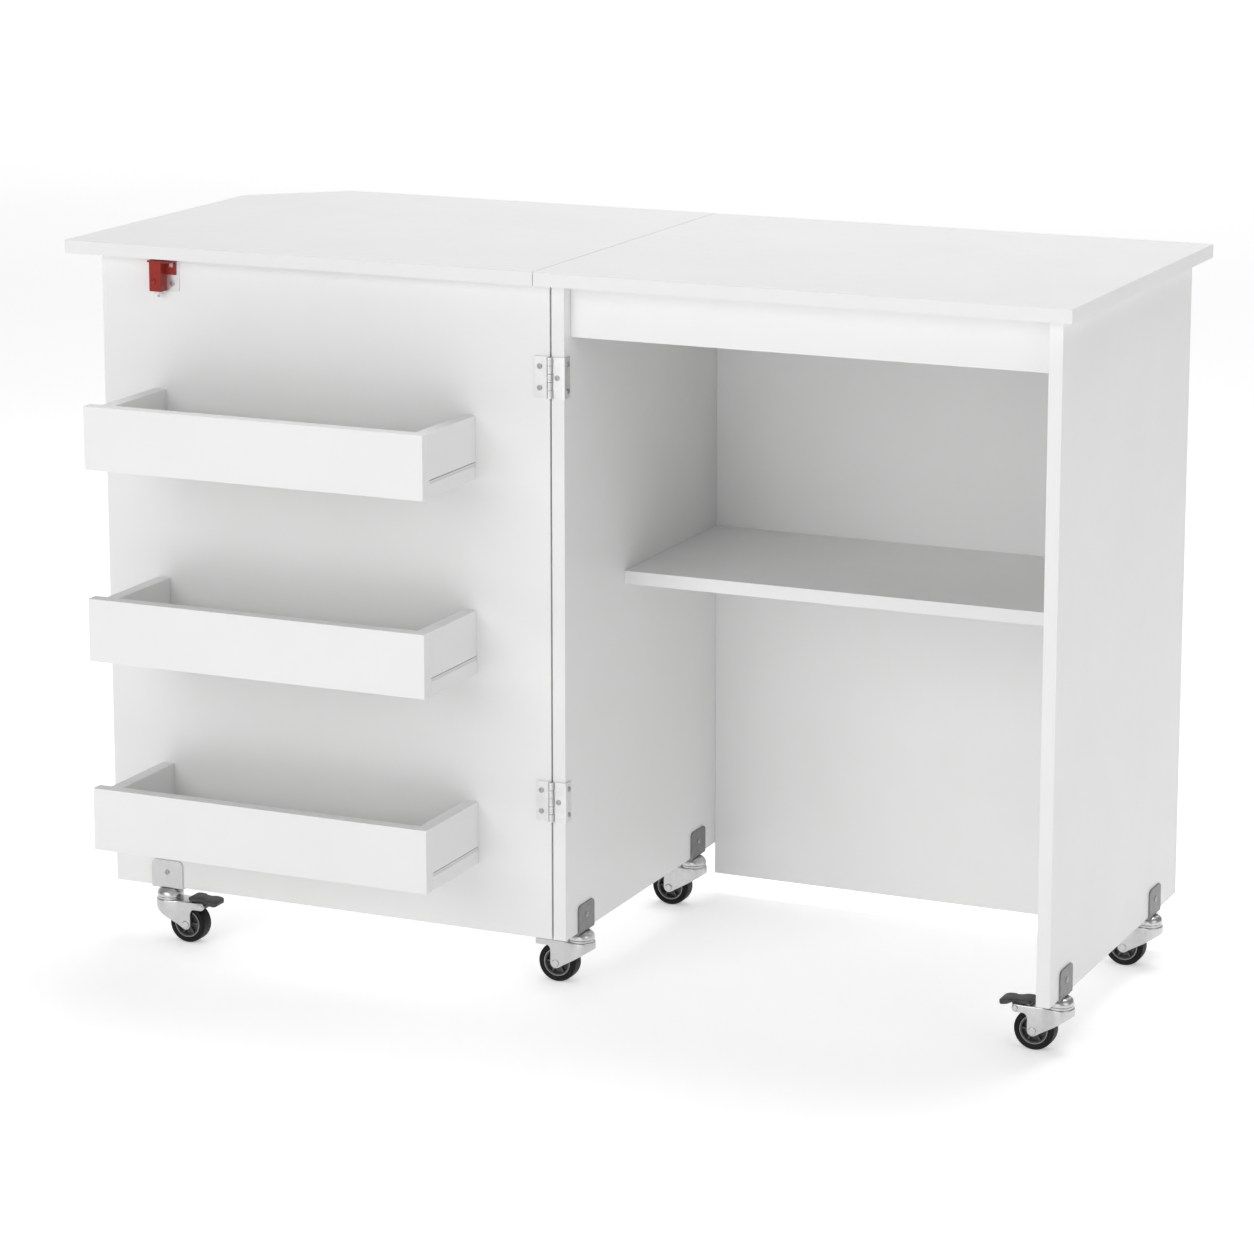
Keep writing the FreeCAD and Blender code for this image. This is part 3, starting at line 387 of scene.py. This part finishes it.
# fork: legs, pressed crown with a rounded shoulder, lower edge
LEG_HALF = 12.7
SHEET = 2.0
SHOULDER = 1.5
EDGE = 0.3
LEAST_SHOULDER = 0.02
CREASE_X = 15.4
PLATE_TOP = 49.5
CROWN_INSET = 1.3
CROWN_DROP = 0.04
SKIRT_FRONT_Z = 41.5
SKIRT_REAR_Z = 42.5
HEEL_AHEAD = 1.0
AXLE_BOSS = 6.0
TOE_RUN = 5.0
TOE_RISE = 6.5
# arms that carry the brake pin
ARM_BOSS = 4.5
ARM_END_EASE = 0.02
SLOT_SETBACK = 16.0
# how finely the fork's side is divided, from its rear end to its nose
REAR_STEPS = 12
TOE_STEPS = 8
TOE_GAP = 0.01
BOSS_STEPS = 10
CREASE_LEADS = (4.0, 1.2)
SIDE_STEPS = 5
NOSE_STEPS = 18
# raised ball race on the crown
RACE_R = 14.6
RACE_WALL = 3.0
RACE_SINK = 1.0
RACE_ROUND = 0.6
RACE_STEPS = 72

# wheel
WHEEL_STEPS = 96
GROUND_EASE = 0.01
RIM_R = 15.8
RIM_GAP = 0.02
# tyre: seat as (out from the rim, in from the side), dish of the side, shoulder arc in degrees,
# tread as (in from the radius, half width)
TYRE_SEAT = ((0.0, 1.2), (0.5, 0.7), (1.2, 0.5))
SIDE_DISH = (0.6, 0.1)
SHOULDER_R = 3.2
SHOULDER_DROP = 0.12
SHOULDER_ARC = (90, 4)
SHOULDER_STEPS = 8
TREAD_LINE = ((0.08, 1.2), (0.06, 0.35), (0.0, 0.12))
# wheel centre: boss, thin web with a fillet as (along, up) at each end, rim wall, spokes
HUB_HALF = 8.5
HUB_BORE = 2.6
HUB_BOSS_R = 5.6
HUB_BOSS_HALF = 10.1
HUB_CHAMFER = 0.5
WEB_HALF = 2.2
BOSS_FOOT = ((0.5, 0.8), (1.4, 0.0))
WALL_FOOT = ((1.2, 0.0), (0.3, 0.9))
RIM_WALL = 2.4
WALL_LIP = 0.4
SPOKE_COUNT = 6
SPOKE_HALF = 6.2
SPOKE_T = 1.0
SPOKE_ROOT = 0.6
SPOKE_TIP = 0.3
# bright ring in a step at the rim's edge
RIM_RING = 0.9
RING_SEAT = 1.2
RING_RISE = 0.35
RING_BEVELS = (0.25, 0.2)

# brake pedal: distance from the pin, half width, lower and upper height over the pin
PEDAL_STATIONS = (
    (-17.0, 6.0, 6.6, 7.8),
    (-16.6, 9.5, 6.0, 8.9),
    (-15.0, 11.6, 5.6, 9.5),
    (-12.0, 12.6, 5.4, 9.6),
    (-8.0, 12.7, 5.3, 9.5),
    (-5.0, 12.2, 5.2, 9.3),
    (-2.5, 10.3, 5.2, 9.0),
    (1.0, 9.7, 5.1, 8.7),
    (4.0, 10.0, 5.1, 8.4),
    (6.5, 11.8, 4.2, 8.3),
    (9.5, 12.6, 2.9, 8.2),
    (13.0, 12.7, 2.1, 7.9),
    (16.0, 12.4, 1.7, 7.4),
    (18.0, 11.0, 1.7, 6.8),
    (19.1, 8.5, 2.2, 6.0),
    (19.5, 6.0, 3.1, 5.1),
)
PEDAL_ROUND = 1.1
PEDAL_FLAT = 0.05
PIN_BORE = 2.05
BARREL_R = 4.2
BARREL_HALF = 10.3
BARREL_CHAMFER = 0.5
BARREL_STEPS = 48
# neck between barrel and pedal, shoe below the barrel: (height over the pin, reach)
NECK = ((2.6, 4.4), (3.4, 4.2), (5.6, 5.2))
NECK_INSET = 0.2
NECK_ROUND = 0.8
SHOE = ((-2.6, 4.0), (-4.6, 4.0), (-5.0, 3.6))
SHOE_END = -0.5
SHOE_INSET = 2.0
SHOE_ROUND = 0.7
BLOCK_STEPS = 3


class Caster:
    """Where one caster is, in millimetres, worked out from its joints and boxes."""

    def __init__(self, name):
        self.name = name
        swivel = joint_place(name + "_swivel")
        axle = joint_place(name + "_wheel_roll")
        back = axle - swivel
        self.trail = math.hypot(back.x, back.y)
        self.axle_z = axle.z
        self.place = (
            Matrix.Scale(MM, 4)
            @ Matrix.Translation((swivel.x, swivel.y, 0))
            @ Matrix.Rotation(math.atan2(back.y, back.x), 4, "Z")
        )
        self.wheel_place = self.lying_at(self.trail, self.axle_z)
        fork_low, fork_high = corner(name + "_caster_fork", 0), corner(name + "_caster_fork", 1)
        self.crown_r = (fork_high.y - fork_low.y) / 2
        self.rear = fork_high.x - fork_low.x - self.crown_r
        self.race_top = fork_high.z
        self.wheel_r = corner(name + "_caster_tyre", 1).z / 2 - GROUND_EASE
        self.brake = name + "_brake" in JOINTS
        if self.brake:
            pin = joint_place(name + "_brake")
            self.pin_x = math.hypot(pin.x - swivel.x, pin.y - swivel.y)
            self.pin_z = pin.z

    def lying_at(self, x, z):
        """A place whose z axis runs across the fork."""
        return self.place @ (Matrix.Translation((x, 0, z)) @ LIE_DOWN)

    def lower_edge(self, x):
        """Height of the skirt's lower edge: straight to the axle boss, round it, then up."""
        heel_x, heel_z = -self.crown_r - HEEL_AHEAD, SKIRT_FRONT_Z
        dx, dz = self.trail - heel_x, self.axle_z - heel_z
        reach = math.hypot(dx, dz)
        slope = math.atan2(dz, dx) - math.asin(AXLE_BOSS / reach)
        touch_x = heel_x + math.sqrt(reach ** 2 - AXLE_BOSS ** 2) * math.cos(slope)
        toe_x = self.trail + AXLE_BOSS
        if x <= touch_x:
            return heel_z + (x - heel_x) * math.tan(slope)
        if x < toe_x:
            return self.axle_z - arc_height(AXLE_BOSS, x - self.trail)
        if self.brake and x > self.pin_x:
            return self.pin_z - arc_height(ARM_BOSS, x - self.pin_x)
        run = min((x - toe_x) / TOE_RUN, 1.0)
        rear_z = self.pin_z - ARM_BOSS if self.brake else SKIRT_REAR_Z
        return rear_z - TOE_RISE + TOE_RISE * math.sqrt(1 - (1 - run) ** 2)

    def upper_edge(self, x):
        """Height of the skirt's upper edge: the crown, then the round end of a brake arm."""
        if self.brake and x > self.pin_x:
            return min(PLATE_TOP, self.pin_z + arc_height(ARM_BOSS, x - self.pin_x))
        return PLATE_TOP

    def touch_angle(self):
        """Where the straight side of the crown leaves its round nose, as seen from above."""
        reach = math.hypot(CREASE_X, LEG_HALF)
        return math.atan2(LEG_HALF, CREASE_X) + math.acos(self.crown_r / reach)

    def half_path(self):
        """Points and outward normals of one side of the fork, from its rear end to its nose."""
        touch = self.touch_angle()
        rear = self.pin_x + ARM_BOSS - ARM_END_EASE if self.brake else self.rear
        toe_x = self.trail + AXLE_BOSS
        legs = [rear - (rear - toe_x - TOE_RUN) * k / REAR_STEPS for k in range(REAR_STEPS)]
        legs += [toe_x + TOE_RUN * (1 - k / TOE_STEPS) ** 2 for k in range(TOE_STEPS + 1)]
        near_boss = toe_x - TOE_GAP
        legs += [near_boss - 2 * AXLE_BOSS * (k / BOSS_STEPS) ** 2 for k in range(BOSS_STEPS + 1)]
        legs += [CREASE_X + lead for lead in CREASE_LEADS]
        path = [((x, LEG_HALF), (0.0, 1.0)) for x in legs]
        halfway = (touch + math.pi / 2) / 2
        path.append(((CREASE_X, LEG_HALF), (math.cos(halfway), math.sin(halfway))))
        nose = (self.crown_r * math.cos(touch), self.crown_r * math.sin(touch))
        away = (math.cos(touch), math.sin(touch))
        for k in range(1, SIDE_STEPS):
            along = k / SIDE_STEPS
            x = CREASE_X + (nose[0] - CREASE_X) * along
            y = LEG_HALF + (nose[1] - LEG_HALF) * along
            path.append(((x, y), away))
        for k in range(NOSE_STEPS + 1):
            turn = touch + (math.pi - touch) * k / NOSE_STEPS
            way = (math.cos(turn), math.sin(turn))
            path.append(((self.crown_r * way[0], self.crown_r * way[1]), way))
        return path


def skirt_ring(caster, point, normal):
    """The skirt's cross-section: a sheet with a rounded upper shoulder."""
    x, y = point
    low, high = caster.lower_edge(x), caster.upper_edge(x)
    bend = min(SHOULDER, max(high - low - 2 * EDGE, LEAST_SHOULDER) / 2)
    edge = min(EDGE, (high - low) / 4)
    section = [(edge, low), (0, low + edge)]
    section += [
        (bend - bend * math.cos(a), high - bend + bend * math.sin(a)) for a in QUARTER_TURN
    ]
    section += [(SHEET, high), (SHEET, low + edge), (SHEET - edge, low)]
    return [caster.place @ Vector((x - normal[0] * d, y - normal[1] * d, z)) for d, z in section]


def crown_outline(caster):
    """The flat crown seen from above, inset into the skirt."""
    rear = caster.pin_x - SLOT_SETBACK if caster.brake else caster.rear
    side = [(rear, LEG_HALF - CROWN_INSET)]
    for (x, y), normal in caster.half_path():
        if x <= CREASE_X:
            side.append((x - normal[0] * CROWN_INSET, y - normal[1] * CROWN_INSET))
    side.pop()
    nose = [(-(caster.crown_r - CROWN_INSET), 0)]
    return side + nose + [(x, -y) for x, y in reversed(side)]


def add_fork(caster):
    """A pressed fork: skirt all round the crown, flat crown, raised ball race."""
    bm = bmesh.new()
    half = caster.half_path()
    mirrored = [((x, -y), (nx, -ny)) for (x, y), (nx, ny) in reversed(half[:-1])]
    loft(bm, [skirt_ring(caster, point, normal) for point, normal in half + mirrored])
    crown = crown_outline(caster)
    prism(bm, crown, PLATE_TOP - SHEET, PLATE_TOP - CROWN_DROP, caster.place)
    top, foot = caster.race_top, PLATE_TOP - RACE_SINK
    race = [(RACE_R - RACE_WALL, foot), (RACE_R, foot)]
    race += arc_points((RACE_R - RACE_ROUND, top - RACE_ROUND), RACE_ROUND, 0, 90, QUARTER_STEPS)
    race += [(RACE_R - RACE_WALL, top)]
    lathe(bm, race, caster.place, RACE_STEPS)
    node = caster.name + "_caster_fork"
    body = caster.name + "_swivel_body"
    finish_piece(bm, caster.name + "_pressed_fork", "zinc_fork", body, [node])


def add_tyre(caster):
    """A moulded tread with soft shoulders, slightly dished sides and a fine parting line."""
    node = caster.name + "_caster_tyre"
    side = (corner(node, 1).y - corner(node, 0).y) / 2
    radius = caster.wheel_r
    half = [(RIM_R + out, side - sunk) for out, sunk in TYRE_SEAT]
    half += [(radius - SHOULDER_R - SIDE_DISH[0], side - SIDE_DISH[1])]
    centre = (radius - SHOULDER_R - SHOULDER_DROP, side - SHOULDER_R)
    half += arc_points(centre, SHOULDER_R, *SHOULDER_ARC, SHOULDER_STEPS)
    half += [(radius - drop, width) for drop, width in TREAD_LINE]
    bm = bmesh.new()
    lathe(bm, mirrored_profile(half), caster.wheel_place, WHEEL_STEPS)
    body = caster.name + "_wheel_body"
    finish_piece(bm, caster.name + "_moulded_tyre", "black_rubber", body, [node])


def add_hub(caster):
    """A dished wheel centre: rim wall, thin web, boss and spokes."""
    wall = RIM_R - RIM_WALL
    ring_r = RIM_R - RIM_RING
    half = [(HUB_BORE, HUB_BOSS_HALF), (HUB_BOSS_R - HUB_CHAMFER, HUB_BOSS_HALF)]
    half += [(HUB_BOSS_R, HUB_BOSS_HALF - HUB_CHAMFER)]
    half += [(HUB_BOSS_R + out, WEB_HALF + up) for out, up in BOSS_FOOT]
    half += [(wall - back, WEB_HALF + up) for back, up in WALL_FOOT]
    half += [(wall, HUB_HALF - HUB_CHAMFER), (wall + WALL_LIP, HUB_HALF), (ring_r, HUB_HALF)]
    half += [(ring_r, HUB_HALF - RING_SEAT), (RIM_R - RIM_GAP, HUB_HALF - RING_SEAT)]
    bm = bmesh.new()
    lathe(bm, mirrored_profile(half), caster.wheel_place, WHEEL_STEPS)
    for number in range(SPOKE_COUNT):
        turn = Matrix.Rotation(2 * math.pi * number / SPOKE_COUNT, 4, "Z")
        rings = []
        for reach in (HUB_BOSS_R - SPOKE_ROOT, wall + SPOKE_TIP):
            ring = []
            for side, height in ((1, -1), (1, 1), (-1, 1), (-1, -1)):
                point = Vector((reach, side * SPOKE_T, height * SPOKE_HALF))
                ring.append(caster.wheel_place @ turn @ point)
            rings.append(ring)
        loft(bm, rings)
    node = caster.name + "_caster_hub"
    body = caster.name + "_wheel_body"
    finish_piece(bm, caster.name + "_wheel_centre", "grey_hub", body, [node])


def add_rim_rings(caster):
    """The two bright rings at the edges of the rim."""
    seat, crest = HUB_HALF - RING_SEAT, HUB_HALF + RING_RISE
    inside, outside = RIM_R - RIM_RING, RIM_R - RIM_GAP
    outer_bevel, inner_bevel = RING_BEVELS
    section = [(inside, seat), (outside, seat), (outside, HUB_HALF)]
    section += [(RIM_R - outer_bevel, crest), (inside + inner_bevel, crest), (inside, HUB_HALF)]
    body = caster.name + "_wheel_body"
    for side, label in ((-1, "_inner_rim_ring"), (1, "_outer_rim_ring")):
        bm = bmesh.new()
        ring = [(r, side * h) for r, h in section]
        lathe(bm, ring, caster.wheel_place, WHEEL_STEPS)
        finish_piece(bm, caster.name + label, "bright_steel", body)


def pedal_ring(caster, station):
    """A rounded cross-section of the pedal, flat on top and below."""
    x, half, low, high = station
    bend = min(PEDAL_ROUND, (high - low) / 2 - PEDAL_FLAT)
    ring = rounded_rectangle((-half, low), (half, high), bend, QUARTER_STEPS)
    return [caster.place @ Vector((caster.pin_x + x, y, caster.pin_z + z)) for y, z in ring]


def block_ring(caster, z, x0, x1, half, bend):
    """A rounded rectangle at one height, about the brake pin."""
    ring = rounded_rectangle((x0, -half), (x1, half), bend, BLOCK_STEPS)
    return [caster.place @ Vector((caster.pin_x + x, y, caster.pin_z + z)) for x, y in ring]


def add_pedal(caster):
    """A moulded lever: two rounded pads with a waist between, on a barrel with a shoe below."""
    bm = bmesh.new()
    loft(bm, [pedal_ring(caster, station) for station in PEDAL_STATIONS])
    half = [(PIN_BORE, BARREL_HALF), (BARREL_R - BARREL_CHAMFER, BARREL_HALF)]
    half += [(BARREL_R, BARREL_HALF - BARREL_CHAMFER)]
    barrel_place = caster.lying_at(caster.pin_x, caster.pin_z)
    lathe(bm, mirrored_profile(half), barrel_place, BARREL_STEPS)
    width = BARREL_HALF - NECK_INSET
    loft(bm, [block_ring(caster, z, -reach, reach, width, NECK_ROUND) for z, reach in NECK])
    width = BARREL_HALF - SHOE_INSET
    loft(bm, [block_ring(caster, z, -reach, SHOE_END, width, SHOE_ROUND) for z, reach in SHOE])
    node = caster.name + "_caster_brake_pedal"
    body = caster.name + "_brake_body"
    finish_piece(bm, caster.name + "_moulded_pedal", "black_plastic", body, [node])


def add_casters():
    for name in CASTER_NAMES:
        caster = Caster(name)
        add_fork(caster)
        add_tyre(caster)
        add_hub(caster)
        add_rim_rings(caster)
        if caster.brake:
            add_pedal(caster)


# ---- door hinges and latch rivet: sizes in millimetres ---------------------------------------

HINGE_LENGTH = 45.0
KNUCKLES = 5
KNUCKLE_R = 2.9
KNUCKLE_BORE = 1.2
KNUCKLE_GAP = 0.35
KNUCKLE_CHAMFER = 0.25
KNUCKLE_STEPS = 40
RIBS = 3
RIB_DEPTH = 0.32
GROOVE_MOUTH = 0.35
GROOVE_FLOOR = 0.1
TAB_ROOT = 1.6
TAB_REACH = 1.0
LEAF_T = 1.4
LEAF_BACK = 3.2
LEAF_CORNER = 2.0
LEAF_CLEARANCE = 0.4
FOLD_R = 1.5
CORNER_STEPS = 6

# from the lowest corner of the housing's box to the rivet's centre
RIVET_INSET = (7.8, 2.0, 11.0)
RIVET_R = 3.1
RIVET_HEIGHT = 2.1
RIVET_SINK = 0.3
RIVET_POLE = 0.02
RIVET_STEPS = 48


def ribbed_knuckle(z0, z1):
    """A closed (radius, height) profile whose outside has shallow turned grooves."""
    lip_r, floor_r = KNUCKLE_R - KNUCKLE_CHAMFER, KNUCKLE_R - RIB_DEPTH
    profile = [(KNUCKLE_BORE, z0), (lip_r, z0), (KNUCKLE_R, z0 + KNUCKLE_CHAMFER)]
    pitch = (z1 - z0) / RIBS
    for number in range(1, RIBS):
        groove = z0 + number * pitch
        profile += [(KNUCKLE_R, groove - GROOVE_MOUTH), (floor_r, groove - GROOVE_FLOOR)]
        profile += [(floor_r, groove + GROOVE_FLOOR), (KNUCKLE_R, groove + GROOVE_MOUTH)]
    profile += [(KNUCKLE_R, z1 - KNUCKLE_CHAMFER), (lip_r, z1), (KNUCKLE_BORE, z1)]
    return profile


def add_knuckles(bm, place, flat, first, side):
    """Every other knuckle of a hinge, each with the tab that joins it to its leaf."""
    pitch = HINGE_LENGTH / KNUCKLES
    for number in range(first, KNUCKLES, 2):
        z0 = number * pitch + (KNUCKLE_GAP / 2 if number else 0)
        z1 = (number + 1) * pitch - (KNUCKLE_GAP / 2 if number < KNUCKLES - 1 else 0)
        lathe(bm, ribbed_knuckle(z0, z1), place, KNUCKLE_STEPS)
        x0, x1 = side * TAB_ROOT, side * (KNUCKLE_R + TAB_REACH)
        tab = [(x0, z0), (x1, z0), (x1, z1), (x0, z1)]
        prism(bm, tab, -LEAF_BACK, LEAF_T - LEAF_BACK, flat)


def door_leaf_outline(reach):
    """A leaf with two rounded outer corners, as far out from the pin as its reach."""
    outer = LEAF_CORNER - reach
    inner = -KNUCKLE_R - LEAF_CLEARANCE
    upper = (outer, HINGE_LENGTH - LEAF_CORNER)
    outline = [(inner, HINGE_LENGTH)]
    outline += arc_points(upper, LEAF_CORNER, 90, 180, CORNER_STEPS)
    outline += arc_points((outer, LEAF_CORNER), LEAF_CORNER, 180, 270, CORNER_STEPS)
    return outline + [(inner, 0)]


def frame_leaf_outline(x1, y1):
    """A leaf seen from above: along the panel's front edge, then folded back to (x1, y1)."""
    start = KNUCKLE_R + LEAF_CLEARANCE
    front = LEAF_BACK - LEAF_T
    outline = [(start, front)]
    outline += arc_points((x1 - FOLD_R, front + FOLD_R), FOLD_R, 270, 360, CORNER_STEPS)
    return outline + [(x1, y1), (x1 - LEAF_T, y1), (x1 - LEAF_T, LEAF_BACK), (start, LEAF_BACK)]


def add_door_hinges():
    """Two butt hinges: a flat leaf on the door, and one folded round the panel's front edge."""
    axis = joint_place("door_swing")
    low, high = corner("door_hinge_door_leaves", 0), corner("door_hinge_door_leaves", 1)
    folded = corner("door_hinge_frame_leaves", 1)
    door_leaf = door_leaf_outline(axis.x - low.x)
    frame_leaf = frame_leaf_outline(folded.x - axis.x, folded.y - axis.y)
    door_bm, frame_bm = bmesh.new(), bmesh.new()
    for base_z in (low.z, high.z - HINGE_LENGTH):
        place = Matrix.Scale(MM, 4) @ Matrix.Translation((axis.x, axis.y, base_z))
        flat = place @ LIE_DOWN
        prism(door_bm, door_leaf, -LEAF_BACK, LEAF_T - LEAF_BACK, flat)
        add_knuckles(door_bm, place, flat, 1, -1)
        prism(frame_bm, frame_leaf, 0, HINGE_LENGTH, place)
        add_knuckles(frame_bm, place, flat, 0, 1)
    for bm, name, body, node in (
        (door_bm, "ribbed_door_hinge_leaves", "door", "door_hinge_door_leaves"),
        (frame_bm, "folded_frame_hinge_leaves", "root", "door_hinge_frame_leaves"),
    ):
        finish_piece(bm, name, "nickel_steel", body, [node])


def add_latch_rivet():
    """The domed rivet on the front of the latch housing."""
    centre = corner("latch_housing", 0) + Vector(RIVET_INSET)
    dome = [(RIVET_POLE, -RIVET_SINK), (RIVET_R, -RIVET_SINK)]
    dome += [(RIVET_R * math.cos(a), RIVET_HEIGHT * math.sin(a)) for a in QUARTER_TURN[:-1]]
    dome += [(RIVET_POLE, RIVET_HEIGHT)]
    place = Matrix.Scale(MM, 4) @ Matrix.Translation(centre) @ LIE_DOWN
    bm = bmesh.new()
    lathe(bm, dome, place, RIVET_STEPS)
    finish_piece(bm, "latch_rivet", "red_enamel", "door")


add_casters()
add_door_hinges()
add_latch_rivet()


# ---- floor -----------------------------------------------------------------------------------

FLOOR_REACH = 40.0
FLOOR_GLOW = 0.37


def add_floor():
    """A pale studio floor that glows a little, so that hardly any shadow stays on it."""
    made = Shader("pale_floor")
    made.tone(made.noise(1.5, 2), grey(0.93), grey(0.95))
    made.roughness(made.noise(4, 2), 0.7, 0.85)
    made.set(
        Specular_IOR_Level=0.1, Emission_Color=(1, 1, 1, 1), Emission_Strength=FLOOR_GLOW,
    )
    sides = ((-1, -1), (1, -1), (1, 1), (-1, 1))
    mesh = bpy.data.meshes.new("floor")
    mesh.from_pydata([(x * FLOOR_REACH, y * FLOOR_REACH, 0) for x, y in sides], [], [(0, 1, 2, 3)])
    mesh.materials.append(made.material)
    floor = bpy.data.objects.new("floor", mesh)
    bpy.context.scene.collection.objects.link(floor)


add_floor()
